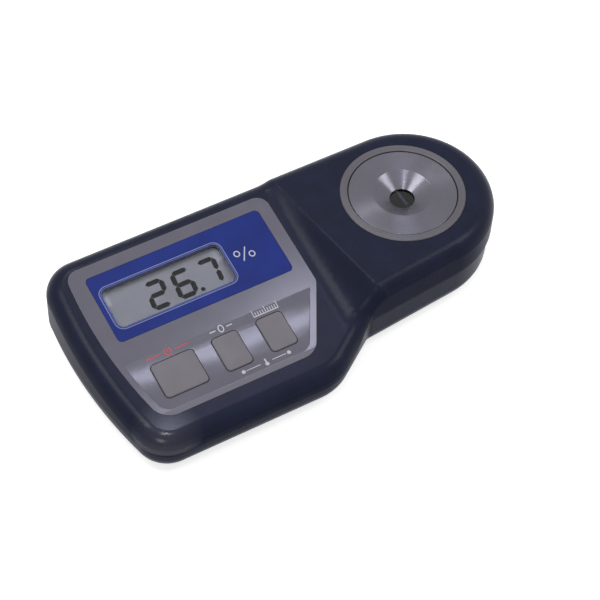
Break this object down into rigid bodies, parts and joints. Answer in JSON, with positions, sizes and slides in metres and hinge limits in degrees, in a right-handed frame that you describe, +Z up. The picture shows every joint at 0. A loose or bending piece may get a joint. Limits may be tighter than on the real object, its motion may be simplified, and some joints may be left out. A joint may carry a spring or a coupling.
{
  "type": "digital brix refractometer",
  "caption": "Hand-held digital refractometer: moulded case with a raised round head carrying a steel sample well over a prism, a sloped display panel, press keys and a sliding battery cover.",
  "frame": {"origin": "middle of the footprint's bounding box, on the surface the rubber feet stand on", "axes": "+X along the case to the round head with the sample stage, +Y to the straight back edge, +Z up"},
  "size_m": [0.175, 0.085, 0.035],
  "materials": {
    "navy_shell": "fine matt texture",
    "grey_panel": "satin print on film",
    "blue_label": "smooth print on film",
    "clear_window": "clear, polished",
    "display_cell": "smooth lilac grey glass",
    "grey_key": "satin",
    "brushed_stage": "turned, fine rings",
    "bright_ring": "turned, satin",
    "machined_aluminium": "machined",
    "prism_glass": "polished",
    "lens_glass": "polished",
    "black_rubber": "matt",
    "grey_rubber": "matt",
    "steel_screw": "plated",
    "white_plastic": "moulded",
    "green_board": "lacquered board",
    "black_chip": "moulded",
    "gold_contact": "plated",
    "lamp_resin": "clear amber resin",
    "probe_metal": "turned",
    "battery_jacket": "wrapped metal can",
    "red_lead": "insulated wire",
    "black_lead": "insulated wire",
    "flat_cable": "insulated ribbon"
  },
  "bodies": {
    "case": {"upper_case": "navy_shell", "lower_case": "navy_shell", "front_panel": "grey_panel", "display_label": "blue_label", "display_window": "clear_window", "display_glass": "display_cell", "sample_stage": "brushed_stage", "stage_ring": "bright_ring", "stage_nut": "machined_aluminium", "prism": "prism_glass", "collimating_lens": "lens_glass", "imaging_lens": "lens_glass", "rubber_feet": "black_rubber", "case_seal": "black_rubber", "prism_seal": "black_rubber", "battery_pad": "black_rubber", "key_mat": "grey_rubber", "contact_strips": "grey_rubber", "case_screws": "steel_screw", "board_screws": "steel_screw", "optics_screws": "steel_screw", "display_frame": "white_plastic", "cable_sockets": "white_plastic", "main_board": "green_board", "light_board": "green_board", "sensor_board": "green_board", "processor": "black_chip", "line_sensor": "black_chip", "battery_snap": "black_chip", "optics_housing": "black_chip", "key_contacts": "gold_contact", "light_source": "lamp_resin", "temperature_sensor": "probe_metal", "battery": "battery_jacket", "positive_lead": "red_lead", "negative_lead": "black_lead", "light_cable": "flat_cable", "sensor_cable": "flat_cable"},
    "start_key": {"start_key": "grey_key"},
    "zero_key": {"zero_key": "grey_key"},
    "scale_key": {"scale_key": "grey_key"},
    "battery_cover": {"battery_cover": "navy_shell", "cover_foot": "black_rubber"}
  },
  "joints": [
    {"name": "start_key_press", "type": "slide", "parent": "case", "child": "start_key", "axis": [0, 0.1616, -0.9869], "range_m": [0, 0.0005], "stiffness_N_per_m": 2000},
    {"name": "zero_key_press", "type": "slide", "parent": "case", "child": "zero_key", "axis": [0, 0.1616, -0.9869], "range_m": [0, 0.0005], "stiffness_N_per_m": 2000},
    {"name": "scale_key_press", "type": "slide", "parent": "case", "child": "scale_key", "axis": [0, 0.1616, -0.9869], "range_m": [0, 0.0005], "stiffness_N_per_m": 2000},
    {"name": "battery_cover_slide", "type": "slide", "parent": "case", "child": "battery_cover", "axis": [-1, 0, 0], "range_m": [0, 0.055]}
  ]
}
